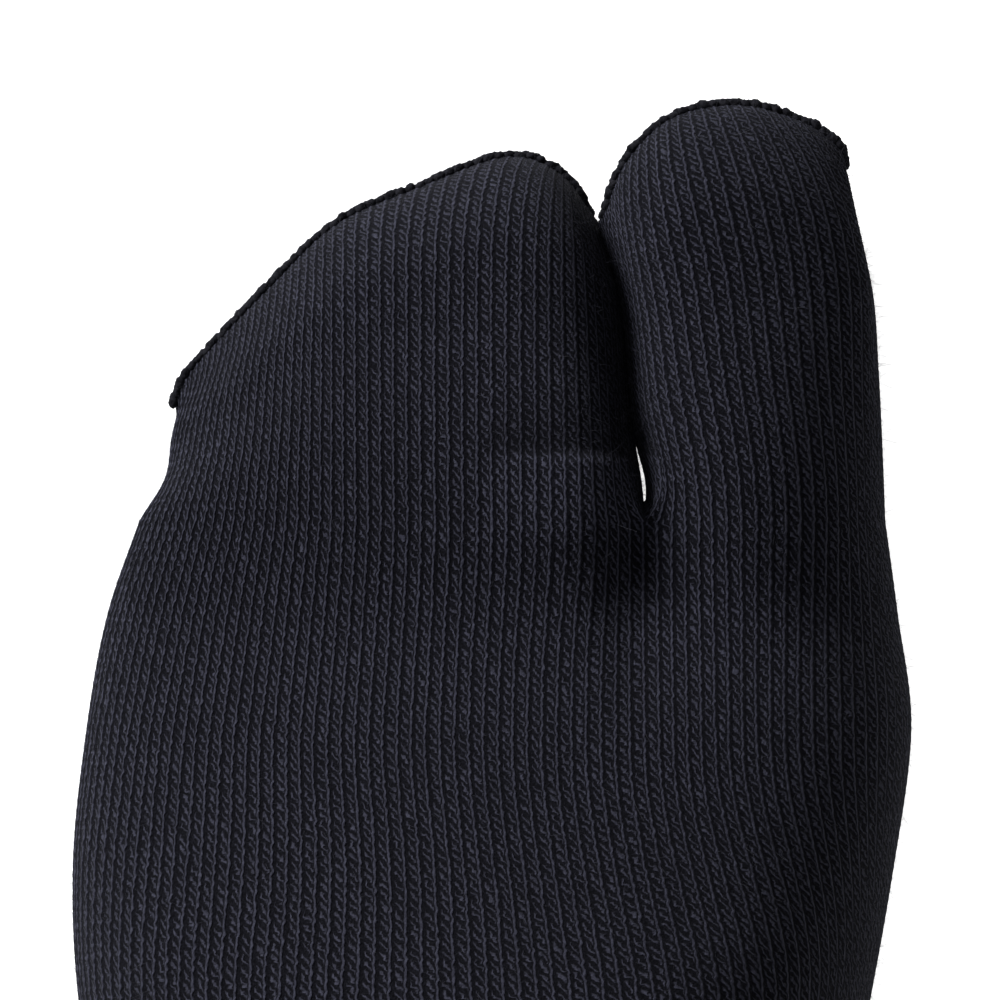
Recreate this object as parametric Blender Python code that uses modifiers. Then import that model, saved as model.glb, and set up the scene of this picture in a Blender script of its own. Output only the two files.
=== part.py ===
"""A tabi sock for the left foot, in plain knit, filled out the way it is worn.

The sock is a knitted tube: a leg with a ribbed cuff, a turned heel, a foot, and two closed pouches, one for
the big toe and one for the other four. Each pouch is shut along its tip by a linked seam.

Frame: metres, +Z up, +Y towards the toes, +X towards the big toe's side. The origin is on the inside of the
sole, on the axis of the leg, where the wearer's foot stands in the sock.
"""

import math
from collections import namedtuple

import bmesh
import bpy
import numpy as np

MM = 0.001

# Driving sizes
WALL = 1.8 * MM  # thickness of the plain knit
CUFF_WALL = 2.2 * MM  # the rib is a little thicker
SEAM_RADIUS = 0.75 * MM  # the linked seam on the tip of each pouch
GAP = 0.3 * MM  # between pieces that meet

# Columns of the knit: every ring of the tube has this many, half over the top and half underneath.
RING = 48
HALF = RING // 2
CROTCH = 16  # columns of the upper half, from the outer side, that go to the four toes' pouch
WEB = 4  # columns of the wall between the two pouches, at the crotch

# The valley between the toes starts this far behind the crotch, and is this wide and deep there.
CROTCH_X = 19.8 * MM
CROTCH_Y = 151.7 * MM
VALLEY_LENGTH = 26 * MM
VALLEY_WIDTH = 7 * MM
VALLEY_DEPTH = 6.5 * MM
VALLEY_DEPTH_BELOW = 2.5 * MM
WEB_SETBACK = 2.0 * MM  # how far the upper and lower ends of the web lie behind its middle

# Sections of the tube, in millimetres. Each one lies in a plane through its front point (shin, instep) and its
# back point (calf, heel, sole), with z above the ground. left and right are the x of its sides, crown the x
# of its front point. outer_drop is how much lower its front is towards the little toe's side. widest is
# where it is widest, from 0 at the back to 1 at the front. round_front and round_back are its fullness: 2 is
# an ellipse, and more is squarer. steps is how many rings lead to it.
Section = namedtuple(
    "Section",
    "front_y front_z back_y back_z left right crown outer_drop widest round_front round_back steps",
)
LEG_TO_CROTCH = (
    Section(40, 176, -43, 176, -38.5, 38.5, 0, 0, 0.50, 2.0, 2.0, 0),
    Section(38, 138, -40, 138, -36.5, 36.5, 0, 0, 0.50, 2.0, 2.0, 3),
    Section(38, 108, -39, 104, -35.0, 35.0, 0, 0, 0.50, 2.0, 2.0, 3),
    Section(44, 94, -47, 74, -35.5, 35.5, 0, 0, 0.48, 2.0, 2.1, 2),
    Section(51, 86, -57, 46, -34.5, 34.5, 0, 0, 0.46, 2.0, 2.1, 2),
    Section(58, 80.5, -60, 22, -33.5, 33.5, 1, 0, 0.44, 2.0, 2.2, 2),
    Section(62, 78, -51.5, 4.5, -33.0, 33.0, 2, 0, 0.42, 2.0, 2.3, 3),
    Section(68, 74.5, -30, 0, -33.5, 33.5, 3, 0, 0.38, 2.0, 2.6, 2),
    Section(76, 70, 10, 0, -37.5, 36.5, 5, 1, 0.33, 2.0, 2.8, 2),
    Section(86, 65, 50, 1, -44.5, 41.5, 7, 2, 0.31, 2.1, 2.9, 2),
    Section(97, 59, 84, 0.5, -49.4, 46.8, 9, 2.5, 0.32, 2.45, 2.9, 2),
    Section(110, 51.5, 107, 0, -50.7, 50.2, 10, 3, 0.34, 2.6, 2.9, 2),
    Section(126, 43, 126, 0, -49.0, 52.6, 12, 3.5, 0.37, 2.7, 2.8, 2),
    Section(140, 36.4, 140, 0, -46.6, 51.0, 14, 4, 0.40, 2.75, 2.6, 2),
    Section(151.7, 34.3, 151.7, 0.5, -42.6, 49.5, 17, 5, 0.42, 2.7, 2.4, 2),
)
CUFF_SECTIONS = (
    Section(40.4, 176, -43.4, 176, -38.9, 38.9, 0, 0, 0.50, 2.0, 2.0, 0),
    Section(41.0, 191, -44.2, 191, -39.6, 39.6, 0, 0, 0.50, 2.0, 2.0, 1),
    Section(41.4, 206, -44.8, 206, -40.0, 40.0, 0, 0, 0.50, 2.0, 2.0, 1),
)

# Plan outlines of the two pouches, in millimetres, as (x, y). The outer side runs from the crotch's station
# towards the ear of the seam, the inner side along the gap between the toes, and the seam round the tip.
Pouch = namedtuple(
    "Pouch", "outer inner seam seam_z crown_z crown_z_outer sole_z tip_radius spread"
)
FOUR_TOES = Pouch(
    outer=((-42.6, 151.7), (-39.8, 156.7), (-39.2, 161.7), (-38.6, 164.6)),
    inner=((19.3, 151.7), (18.9, 156), (18.4, 162), (16.15, 178)),
    seam=(
        (-39.0, 166.8),
        (-34.2, 174.0),
        (-27.2, 181.4),
        (-18.8, 189.3),
        (-8.2, 194.0),
        (3.0, 197.8),
        (10.4, 195.0),
        (14.4, 188.6),
    ),
    seam_z=8.5,
    crown_z=29.5,
    crown_z_outer=23,
    sole_z=0.5,
    tip_radius=10,
    spread=0.72,
)
BIG_TOE = Pouch(
    outer=((49.5, 151.7), (49.2, 160), (48.8, 170), (48.2, 179.5), (46.2, 188.8)),
    inner=((20.3, 151.7), (20.0, 156), (18.4, 162), (15.65, 178)),
    seam=(
        (45.2, 196.0),
        (44.4, 198.6),
        (39.6, 201.9),
        (31.3, 204.0),
        (22.6, 202.1),
        (16.6, 196.0),
        (14.0, 188.6),
    ),
    seam_z=14,
    crown_z=31.5,
    crown_z_outer=27,
    sole_z=0.5,
    tip_radius=13,
    spread=1.0,
)
# Shares of the way from the crotch to the seam where a pouch has a ring, closer together at the tip.
POUCH_RINGS = (0.06, 0.16, 0.31, 0.49, 0.66, 0.80, 0.90, 0.96, 1.0)
POUCH_BLEND = 0.6  # up to this share the foot's section changes into the pouch's own
POUCH_PARTING = 0.22  # and up to this one beside the web, so that the two pouches part at once
POUCH_SETTLE = 0.75  # and up to this one in plan elsewhere
WEB_HOLD = 0.35  # how soon that changes over, column by column, away from the web
STEEPEST = 0.55  # how fast the instep may fall on into a pouch, in metres a metre
POUCH_ROUND = 2.3  # fullness of a pouch's section
SEAM_POINTS = 28
SEAM_SHORT = 3  # points by which the seam stops short of the gap between the toes

NAVY = (0.012, 0.013, 0.018, 1.0)
NAVY_SEAM = (0.009, 0.010, 0.014, 1.0)


def clear_scene():
    for old in list(bpy.data.objects):
        bpy.data.objects.remove(old)


def make_collection(name):
    made = bpy.data.collections.new(name)
    bpy.context.scene.collection.children.link(made)
    return made


def make_material(name, colour, roughness):
    material = bpy.data.materials.new(name)
    material.use_nodes = True
    shader = material.node_tree.nodes["Principled BSDF"]
    shader.inputs["Base Color"].default_value = colour
    shader.inputs["Roughness"].default_value = roughness
    shader.inputs["Metallic"].default_value = 0.0
    return material


def ease(share):
    """0 to 1 with a level start and end."""
    share = min(max(share, 0.0), 1.0)
    return share * share * (3 - 2 * share)


def between(a, b, share):
    return a + (b - a) * share


def curve_through(points, count):
    """count + 1 points, evenly spaced along a smooth curve through the given ones."""
    knots = [np.array(p, float) for p in points]
    knots = [2 * knots[0] - knots[1], *knots, 2 * knots[-1] - knots[-2]]
    fine = []
    for before, start, end, after in zip(knots, knots[1:], knots[2:], knots[3:]):
        for share in np.linspace(0, 1, 16, endpoint=False):
            slope_in, slope_out = (end - before) / 2, (after - start) / 2
            square, cube = share**2, share**3
            fine.append(
                (2 * cube - 3 * square + 1) * start
                + (cube - 2 * square + share) * slope_in
                + (3 * square - 2 * cube) * end
                + (cube - square) * slope_out
            )
    fine.append(knots[-2])
    return evenly(fine, count)


def evenly(points, count):
    """count + 1 points, evenly spaced along a polyline."""
    points = np.array(points)
    steps = np.linalg.norm(np.diff(points, axis=0), axis=1)
    length = np.concatenate([[0], np.cumsum(steps)])
    wanted = np.linspace(0, length[-1], count + 1)
    return np.column_stack([np.interp(wanted, length, axis) for axis in points.T])


def at_share(line, share):
    """The point at this share of an evenly spaced line."""
    place = share * (len(line) - 1)
    index = min(int(place), len(line) - 2)
    return between(line[index], line[index + 1], place - index)


def filled_in(table):
    """The table's sections with the rings between them, along smooth curves."""
    rows = [np.array(row, float) for row in table]
    rows = [2 * rows[0] - rows[1], *rows, 2 * rows[-1] - rows[-2]]
    found = [table[0]]
    for before, start, end, after in zip(rows, rows[1:], rows[2:], rows[3:]):
        steps = int(end[-1])
        for step in range(1, steps + 1):
            share = step / steps
            square, cube = share**2, share**3
            found.append(
                Section(
                    *(
                        (2 * cube - 3 * square + 1) * start
                        + (cube - 2 * square + share) * (end - before) / 2
                        + (3 * square - 2 * cube) * end
                        + (cube - square) * (after - start) / 2
                    )
                )
            )
    return found


def half_section(section, front):
    """HALF + 1 points from the left side of a section to its right, over its front or round its back."""
    middle = (section.left + section.right) / 2
    half_width = (section.right - section.left) / 2
    fullness = section.round_front if front else section.round_back
    reach = 1 - section.widest if front else -section.widest
    lean = section.crown - middle if front else 0.0
    drop = section.outer_drop if front else 0.0
    fine = []
    for angle in np.linspace(0, math.pi, 97):
        across = -math.copysign(abs(math.cos(angle)) ** (2 / fullness), math.cos(angle))
        out = math.sin(angle) ** (2 / fullness)
        share = section.widest + reach * out
        fine.append(
            (
                middle + half_width * across + lean * out * (1 - across**2),
                between(section.back_y, section.front_y, share),
                between(section.back_z, section.front_z, share) - drop * out * ease(-across),
            )
        )
    return evenly(fine, HALF) * MM


def valley(point, upper):
    """The point, pulled in towards the crotch between the toes."""
    behind = (CROTCH_Y - point[1]) / VALLEY_LENGTH
    aside = (point[0] - CROTCH_X) / VALLEY_WIDTH
    depth = VALLEY_DEPTH if upper else -VALLEY_DEPTH_BELOW
    pull = ease(1 - behind) * math.exp(-(aside**2))
    return point - np.array((0, 0, depth * pull))


def section_ring(section):
    """RING points round a section, from its left side over the front and back round the back."""
    front = [valley(p, True) for p in half_section(section, True)]
    back = [valley(p, False) for p in half_section(section, False)]
    ring = front + back[-2:0:-1]
    return [p - np.array((0, 0, WALL)) for p in ring]


def skin(bm, ring, following):
    """A band of faces between two closed rings of vertices."""
    for a, b, c, d in zip(
        ring, ring[1:] + ring[:1], following[1:] + following[:1], following
    ):
        bm.faces.new([v for v in dict.fromkeys((a, b, c, d))])


def tube(bm, sections):
    """Rings of vertices through the sections, skinned into a tube."""
    rings = [[bm.verts.new(p) for p in section_ring(s)] for s in filled_in(sections)]
    for ring, following in zip(rings, rings[1:]):
        skin(bm, ring, following)
    return rings


def web_vertices(bm, top, bottom):
    """The wall between the pouches, from the upper end of the crotch down to the lower."""
    made = []
    for index in range(1, WEB):
        share = index / WEB
        point = between(np.array(top.co), np.array(bottom.co), share)
        point[1] += WEB_SETBACK * math.sin(math.pi * share)
        made.append(bm.verts.new(point))
    return made


def seam_inset(line, distance):
    """A plan line moved towards the inside of its pouch."""
    along = np.gradient(line, axis=0)
    inwards = np.column_stack([along[:, 1], -along[:, 0]])
    inwards /= np.linalg.norm(inwards, axis=1)[:, None]
    centre = line.mean(axis=0)
    if np.sum((centre - line[len(line) // 2]) * inwards[len(line) // 2]) < 0:
        inwards = -inwards
    return line + inwards * np.reshape(distance, (-1, 1))


def seam_plan(pouch):
    """The outermost line of the seam, in plan, from the ear to the gap between the toes."""
    return curve_through(pouch.seam, SEAM_POINTS) * MM


def pouch_point(pouch, lines, share_across, share_along, out, upper):
    """A point of a pouch: share_across runs from its outer to its inner side, share_along from the crotch to
    the seam, and out from 0 on the side's own line to 1 at the crown."""
    outer, inner, seam = lines
    base = between(outer[0], inner[0], share_across)
    tip = at_share(seam, share_across**pouch.spread)
    plan = between(base, tip, share_along)
    outer_bow = at_share(outer, share_along) - between(outer[0], outer[-1], share_along)
    inner_bow = at_share(inner, share_along) - between(inner[0], inner[-1], share_along)
    plan = plan + between(outer_bow, inner_bow, share_across)
    to_seam = np.linalg.norm(tip - plan)
    short = max(0.0, 1 - to_seam / (pouch.tip_radius * MM))
    closing = math.sqrt(max(0.0, 1 - short**2))
    middle = pouch.seam_z * MM
    crown = between(pouch.crown_z_outer, pouch.crown_z, ease(share_across)) * MM
    reach = crown - middle if upper else pouch.sole_z * MM - middle
    height = middle + reach * out * closing
    return np.array((plan[0], plan[1], height - WALL))


def pouch_ring(pouch, lines, share_along, count):
    """2 * count points round a pouch, from its outer side over the top and back underneath."""
    halves = []
    for upper in (True, False):
        crown = pouch.crown_z if upper else pouch.sole_z
        rise = abs(crown - pouch.seam_z) * MM
        width = np.linalg.norm(
            at_share(lines[0], share_along) - at_share(lines[1], share_along)
        )
        profile = []
        for angle in np.linspace(0, math.pi, 97):
            across = abs(math.cos(angle)) ** (2 / POUCH_ROUND)
            across = (1 - math.copysign(across, math.cos(angle))) / 2
            out = math.sin(angle) ** (2 / POUCH_ROUND)
            profile.append((across * width, out * rise))
        spaced = evenly(profile, count)
        halves.append(
            [
                pouch_point(pouch, lines, a / width, share_along, o / rise, upper)
                for a, o in spaced
            ]
        )
    return halves[0] + halves[1][-2:0:-1]


def falls(ring, before):
    """How fast the knit rises or falls going forward, at each vertex of a ring."""
    slopes = {}
    for vertex, behind in zip(ring, before):
        slope = (vertex.co.z - behind.co.z) / (vertex.co.y - behind.co.y)
        slopes[vertex] = max(-STEEPEST, min(STEEPEST, slope))
    return slopes


def close_pouch(bm, pouch, start, slopes, web_start):
    """Rings from the crotch's own ring of vertices to the seam, where the upper and lower halves meet.
    web_start is where in the ring the web begins."""
    count = len(start) // 2
    past_seam = np.arange(SEAM_POINTS + 1) - (SEAM_POINTS - SEAM_SHORT + 1)
    inset = [(2 * SEAM_RADIUS + GAP) * (1 - ease(p / (SEAM_SHORT - 1))) for p in past_seam]
    seam = seam_inset(seam_plan(pouch), inset)
    outer = curve_through((*pouch.outer, seam[0] / MM), 16) * MM
    inner = curve_through((*pouch.inner, seam[-1] / MM), 16) * MM
    lines = (outer, inner, seam)
    ring = start
    first = pouch_ring(pouch, lines, 0.0, count)
    for share in POUCH_RINGS[:-1]:
        own = pouch_ring(pouch, lines, share, count)
        rise = ease(share / POUCH_BLEND)
        parting = max(0.0, 1 - share / POUCH_PARTING) ** 3
        settling = 1 - ease(share / POUCH_SETTLE)
        following = []
        for index, (vertex, point, own_first) in enumerate(zip(start, own, first)):
            from_web = max(web_start - index, index - web_start - WEB, 0)
            beside_web = math.exp(-(from_web**2) * WEB_HOLD)
            kept = between(settling, parting, beside_web)
            x = point[0] + (vertex.co.x - own_first[0]) * kept
            onwards = vertex.co.z + slopes.get(vertex, 0.0) * (point[1] - vertex.co.y)
            z = between(onwards, point[2], rise)
            following.append(bm.verts.new((x, point[1], z)))
        skin(bm, ring, following)
        ring = following
    last = [
        bm.verts.new(pouch_point(pouch, lines, i / count, 1.0, 0.0, True))
        for i in range(count + 1)
    ]
    skin(bm, ring, last + last[-2:0:-1])


def finished(bm, name, material, collection, wall):
    """The surface as an object, with its wall built inwards."""
    bmesh.ops.recalc_face_normals(bm, faces=bm.faces)
    mesh = bpy.data.meshes.new(name)
    bm.to_mesh(mesh)
    bm.free()
    mesh.shade_smooth()
    made = bpy.data.objects.new(name, mesh)
    made.data.materials.append(material)
    collection.objects.link(made)
    shell = made.modifiers.new("wall", "SOLIDIFY")
    shell.thickness = wall
    shell.offset = -1
    shell.use_rim = True
    return made


def make_knit_body(collection, material):
    """Leg, heel, foot and both pouches, knitted in one piece."""
    bm = bmesh.new()
    rings = tube(bm, LEG_TO_CROTCH)
    crotch = rings[-1]
    top, bottom = crotch[CROTCH], crotch[RING - CROTCH]
    web = web_vertices(bm, top, bottom)
    four = crotch[: CROTCH + 1] + web + crotch[RING - CROTCH :]
    big = crotch[HALF : CROTCH - 1 : -1] + web + crotch[RING - CROTCH : HALF : -1]
    slopes = falls(crotch, rings[-2])
    close_pouch(bm, FOUR_TOES, four, slopes, CROTCH)
    close_pouch(bm, BIG_TOE, big, slopes, HALF - CROTCH)
    return finished(bm, "knit_body", material, collection, WALL)


def make_cuff(collection, material):
    bm = bmesh.new()
    rings = tube(bm, CUFF_SECTIONS)
    for vertex in rings[0]:
        vertex.co.z += GAP
    return finished(bm, "cuff", material, collection, CUFF_WALL)


def make_seam(name, pouch, collection, material):
    """The linked seam on the tip of a pouch, a cord that stands on the edge of the knit."""
    line = seam_inset(seam_plan(pouch), SEAM_RADIUS)[: -SEAM_SHORT]
    curve = bpy.data.curves.new(name, "CURVE")
    curve.dimensions = "3D"
    curve.bevel_depth = SEAM_RADIUS
    curve.bevel_resolution = 2
    curve.use_fill_caps = True
    spline = curve.splines.new("POLY")
    spline.points.add(len(line) - 1)
    for point, (x, y) in zip(spline.points, line):
        point.co = (x, y, pouch.seam_z * MM - WALL, 1)
    curve.materials.append(material)
    made = bpy.data.objects.new(name, curve)
    collection.objects.link(made)
    return made


def main():
    clear_scene()
    sock = make_collection("tabi_sock")
    knit = make_material("navy_knit", NAVY, 0.9)
    seam = make_material("navy_seam", NAVY_SEAM, 0.9)
    make_knit_body(sock, knit)
    make_cuff(sock, knit)
    make_seam("four_toe_seam", FOUR_TOES, sock, seam)
    make_seam("big_toe_seam", BIG_TOE, sock, seam)


main()
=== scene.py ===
# %% [markdown]
# # A split-toe sock, stitch by stitch
# The sock is a knitted tube that closes in two pouches, one for the big toe and one for the other four.
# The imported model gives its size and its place. Here the same surface is made again with enough points to
# hold every stitch of the front of the foot, and with a plainer knit behind it.

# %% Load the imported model
import math
from collections import namedtuple

import bmesh
import bpy
import numpy as np
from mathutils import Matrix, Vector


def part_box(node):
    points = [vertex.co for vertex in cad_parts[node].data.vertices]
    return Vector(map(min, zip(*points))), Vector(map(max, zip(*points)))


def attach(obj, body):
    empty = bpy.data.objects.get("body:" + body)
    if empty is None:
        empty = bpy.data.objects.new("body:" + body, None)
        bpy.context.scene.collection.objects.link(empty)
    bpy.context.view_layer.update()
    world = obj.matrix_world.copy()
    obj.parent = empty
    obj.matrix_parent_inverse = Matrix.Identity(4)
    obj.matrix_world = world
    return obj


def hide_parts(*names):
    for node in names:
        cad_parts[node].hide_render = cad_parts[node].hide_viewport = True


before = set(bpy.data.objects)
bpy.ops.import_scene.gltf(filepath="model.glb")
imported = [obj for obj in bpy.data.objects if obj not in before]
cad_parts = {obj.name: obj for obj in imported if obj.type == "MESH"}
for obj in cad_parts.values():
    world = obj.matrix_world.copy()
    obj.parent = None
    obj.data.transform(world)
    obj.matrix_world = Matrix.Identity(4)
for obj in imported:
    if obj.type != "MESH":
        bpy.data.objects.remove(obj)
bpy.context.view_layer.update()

MM = 0.001
body_low, body_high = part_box("knit_body")
cuff_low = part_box("cuff")[0]
print("knit body from", tuple(round(c, 4) for c in body_low), "to", tuple(round(c, 4) for c in body_high))

# %% [markdown]
# ## Shader maths
# A pattern such as a knit stitch is a small formula. Written as nodes by hand it would be a page of links.
# This class wraps one socket, so that + - * / on it add the Math nodes, and one method adds any other node.

# %% A socket that Python can calculate with
class Wire:
    def __init__(self, tree, socket=None):
        self.tree = tree
        self.socket = socket

    def node(self, kind, settings=None, inputs=None, output=0):
        """Any node: its settings first, then the values or links of its sockets. Gives one of its outputs."""
        made = self.tree.nodes.new(kind)
        for name, value in (settings or {}).items():
            setattr(made, name, value)
        for name, value in (inputs or {}).items():
            if isinstance(value, Wire):
                self.tree.links.new(value.socket, made.inputs[name])
            else:
                made.inputs[name].default_value = value
        return Wire(self.tree, made.outputs[output])

    def maths(self, operation, *values):
        return self.node("ShaderNodeMath", {"operation": operation}, dict(enumerate(values)))

    def __add__(self, other):
        return self.maths("ADD", self, other)

    def __sub__(self, other):
        return self.maths("SUBTRACT", self, other)

    def __mul__(self, other):
        return self.maths("MULTIPLY", self, other)

    def __radd__(self, other):
        return self.maths("ADD", other, self)

    def __rsub__(self, other):
        return self.maths("SUBTRACT", other, self)

    def __rmul__(self, other):
        return self.maths("MULTIPLY", other, self)

    def part(self):
        """What is left of the number after its whole part."""
        return self.maths("FRACT", self)

    def far_from(self, other):
        return self.maths("ABSOLUTE", self - other)

    def larger(self, other):
        return self.maths("MAXIMUM", self, other)

    def sine(self):
        return self.maths("SINE", self)

    def step(self, start, end, low=0.0, high=1.0):
        """Eases from low at start to high at end."""
        return self.node(
            "ShaderNodeMapRange",
            {"interpolation_type": "SMOOTHSTEP"},
            {"Value": self, "From Min": start, "From Max": end, "To Min": low, "To Max": high},
        )

    def blend(self, low, high):
        """The colour low where this is 0, and high where it is 1."""
        return self.node(
            "ShaderNodeMix", {"data_type": "RGBA"}, {"Factor": self, 6: low, 7: high}, output=2
        )


def new_material(name):
    """A material, its Principled shader, and a Wire to start from."""
    made = bpy.data.materials.new(name)
    made.use_nodes = True
    return made, made.node_tree.nodes["Principled BSDF"], Wire(made.node_tree)


def plug(wire, shader, socket):
    wire.tree.links.new(wire.socket, shader.inputs[socket])


# %% [markdown]
# ## The navy yarn
# The sock is one dark navy cotton. Seen close, a knit stitch is a V of yarn whose point looks towards the
# heel. Its right leg runs on from stitch to stitch as a nearly unbroken bright line, its left leg is a short
# slanted stroke, and between them lie deep gaps, whose near-black colour is painted shade. The pattern is
# worked out from a UV map whose first number counts columns of stitches and whose second counts courses, so
# it follows the cloth everywhere.

# %% Colours of the yarn
YARN = (0.0455, 0.0465, 0.0690, 1.0)
# the near-black of the gaps between the legs of yarn is painted shade
GAP_PAINTED_SHADE = (0.0022, 0.0022, 0.0036, 1.0)
LINE_AT = 0.80  # where in a column the right leg runs, from 0 to 1
LINE_WIDE = 0.14
STROKE_AT = 0.42  # middle of the left leg
STROKE_LEAN = 1.75  # courses that it climbs over one column's width
STROKE_THICK = 0.29
STROKE_BRIGHT = 0.78
SEAM_YARN = (0.016, 0.016, 0.021, 1.0)
YARN_DEEP = 0.00028  # how far the stitches stand up, in metres
WANDER_ACROSS = (0.26, 0.16)  # columns by which the yarn strays, slowly and from stitch to stitch
WANDER_ALONG = (0.75, 0.70)  # and courses
FULL_TURN = 2 * math.pi
print("yarn", YARN[:3], "gaps", GAP_PAINTED_SHADE[:3])

# %% Where in the knit a point lies
def stitch_place(start):
    """The map that counts stitches, and its two numbers: the column and the course."""
    place = start.node("ShaderNodeUVMap", {"uv_map": "knit"})
    column = start.node("ShaderNodeSeparateXYZ", {}, {0: place}, output=0)
    return place, column, Wire(start.tree, column.socket.node.outputs[1])


def noise(start, place, size, detail=1.0):
    """Smooth random numbers round 0.5. size is how many of its lumps fit in one unit of the place."""
    return start.node(
        "ShaderNodeTexNoise", {}, {"Vector": place, "Scale": float(size), "Detail": detail}
    )


def stitch_height(start):
    """How high the yarn is, from 0 in a gap to 1."""
    place, column, course = stitch_place(start)
    uneven = noise(start, place, 0.9)
    restless = noise(start, place, 2.3)
    loose = noise(start, place, 1.35)
    across = (
        column + (uneven - 0.5) * WANDER_ACROSS[0] + (restless - 0.5) * WANDER_ACROSS[1]
    ).part()
    sway = (course * FULL_TURN).sine() * 0.025
    line = across.far_from(LINE_AT + sway).step(LINE_WIDE, LINE_WIDE * 0.25)
    beat = 0.86 + (course * FULL_TURN + 0.9).sine() * 0.14
    loops = course + (uneven - 0.5) * WANDER_ALONG[0] + (restless - 0.5) * WANDER_ALONG[1]
    along = (loops + (across - STROKE_AT) * STROKE_LEAN).part()
    stroke = along.far_from(0.5).step(STROKE_THICK, STROKE_THICK * 0.3)
    beside = across.far_from(STROKE_AT - 0.02).step(0.34, 0.18)
    line = line * beat * (0.60 + 0.80 * loose)
    return line.larger(stroke * beside * STROKE_BRIGHT * (0.35 + 1.30 * restless))


# %% Painted light and shade on the patch beside the crotch
PATCH_COLUMNS = (35.0, 38.5, 47.8, 48.6)  # it fades in between the first two and out at the crotch
PATCH_COURSES = (-3.5, 0.5, 6.2, 6.9)  # it fades in behind the crotch and ends sharply before it
# painted light: the knit on the patch is made lighter, as if lit
PATCH_PAINTED_LIGHT = 0.55
PAINTED_SHADE_COURSES = (6.4, 6.9, 6.4, 14.0)  # painted shade: the knit is darker in front of the patch's edge, where the fold shades it
PAINTED_SHADE_DARKER = 0.40


def between(wire, numbers):
    """Rises from 0 to 1 between the first two numbers and falls again between the last two."""
    return wire.step(*numbers[:2]) * wire.step(numbers[3], numbers[2])


def patch_painted_light_and_shade(start):
    """1 for the plain knit, more on the patch and less in front of its edge: painted light and painted shade.
    """
    _, column, course = stitch_place(start)
    patch, shade = between(course, PATCH_COURSES), between(course, PAINTED_SHADE_COURSES)
    return 1.0 + between(column, PATCH_COLUMNS) * (patch * PATCH_PAINTED_LIGHT - shade * PAINTED_SHADE_DARKER)


# %% The plain knit's material
FIBRE_GRAIN, LOT_GRAIN, NAP_GRAIN, PATCHY_GRAIN = 3600, 1300, 7000, 110  # lumps in one metre


def finish_yarn(start, shader, height, yarn, gap, deep, painted_light_and_shade=1.0):
    """Colour, roughness and relief of the yarn on this height, with its fibres and its unevenness. The gap
    colour is painted shade.
    """
    where = start.node("ShaderNodeTexCoord", output=3)
    fibre = noise(start, where, FIBRE_GRAIN, 2.0)
    lot = noise(start, where, LOT_GRAIN)
    nap = noise(start, where, NAP_GRAIN)
    patchy = noise(start, where, PATCHY_GRAIN, 3.0)
    tufts = (0.30 + 1.40 * fibre) * (0.40 + 1.20 * lot) * (0.78 + 0.44 * patchy)
    # the patch's painted light and shade multiply the colour here
    light = (height * tufts * 0.82 + (fibre - 0.40) * 0.34 + (nap - 0.5) * 0.30).larger(0.0) * painted_light_and_shade
    plug(light.blend(gap, yarn), shader, "Base Color")
    plug(0.98 - 0.16 * height, shader, "Roughness")
    relief = height * 0.80 + fibre * 0.30 + lot * 0.15
    bump = start.node("ShaderNodeBump", {}, {"Strength": 1.0, "Distance": deep, "Height": relief})
    plug(bump, shader, "Normal")
    cotton(shader)


def cotton(shader):
    """The soft, nearly matt look of combed cotton."""
    shader.inputs["Specular IOR Level"].default_value = 0.08
    shader.inputs["Sheen Weight"].default_value = 0.05
    shader.inputs["Sheen Roughness"].default_value = 0.45
    shader.inputs["Sheen Tint"].default_value = (0.55, 0.58, 0.72, 1.0)


navy_knit, knit_shader, knit_start = new_material("navy_knit")
finish_yarn(
    knit_start, knit_shader, stitch_height(knit_start), YARN, GAP_PAINTED_SHADE, YARN_DEEP, patch_painted_light_and_shade(knit_start)
)
print("made", navy_knit.name, "with", len(navy_knit.node_tree.nodes), "nodes")

# %% [markdown]
# The rib of the cuff is knitted one and one: a plain column stands forward, the next one lies back. From
# outside only the forward columns show their V stitches, and the others are channels, darkened by painted
# shade. The inside of the cloth shows the purl side, rows of small bumps across, and the linked seams are a
# chain of the same yarn.

# %% Rib, inside, seam and fibre
navy_rib, rib_shader, rib_start = new_material("navy_rib")
rib_column = stitch_place(rib_start)[1]
rib_back = (rib_column * 0.5).part().far_from(0.5).step(0.10, 0.34)  # 1 on the columns that lie back: there the relief is lower and the colour is painted darker as shade
rib_height = stitch_height(rib_start) * (1.0 - 0.72 * rib_back)
finish_yarn(rib_start, rib_shader, rib_height, YARN, GAP_PAINTED_SHADE, YARN_DEEP)

navy_inside, inside_shader, inside_start = new_material("navy_inside")
_, inside_column, inside_course = stitch_place(inside_start)
purl_arch = (inside_column * FULL_TURN).sine() * 0.22
purl_height = (inside_course + purl_arch).part().far_from(0.5).step(0.42, 0.1)
finish_yarn(inside_start, inside_shader, purl_height, YARN, GAP_PAINTED_SHADE, YARN_DEEP)

navy_seam, seam_shader, seam_start = new_material("navy_seam")
seam_where = seam_start.node("ShaderNodeTexCoord", output=3)
seam_height = noise(seam_start, seam_where, 1500, 2.0).step(0.25, 0.62)
finish_yarn(seam_start, seam_shader, seam_height, SEAM_YARN, GAP_PAINTED_SHADE, 0.00012)

navy_fibre, fibre_shader, fibre_start = new_material("navy_fibre")
fibre_where = fibre_start.node("ShaderNodeTexCoord", output=3)
fibre_tone = noise(fibre_start, fibre_where, 400)
plug(fibre_tone.blend((0.012, 0.012, 0.017, 1.0), (0.055, 0.056, 0.072, 1.0)), fibre_shader, "Base Color")
cotton(fibre_shader)
print("made", ", ".join(m.name for m in (navy_rib, navy_inside, navy_seam, navy_fibre)))

# %% [markdown]
# ## The shape of the tube
# A maker would say how wide and how high the sock is at a few places: the leg, the ankle, the instep, the
# ball of the foot and the place where it divides. Each row of the table below is such a place, and the
# rings between them follow smooth curves. A section lies in a plane through its front point on the shin or
# instep and its back point on the calf, heel or sole.

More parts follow.
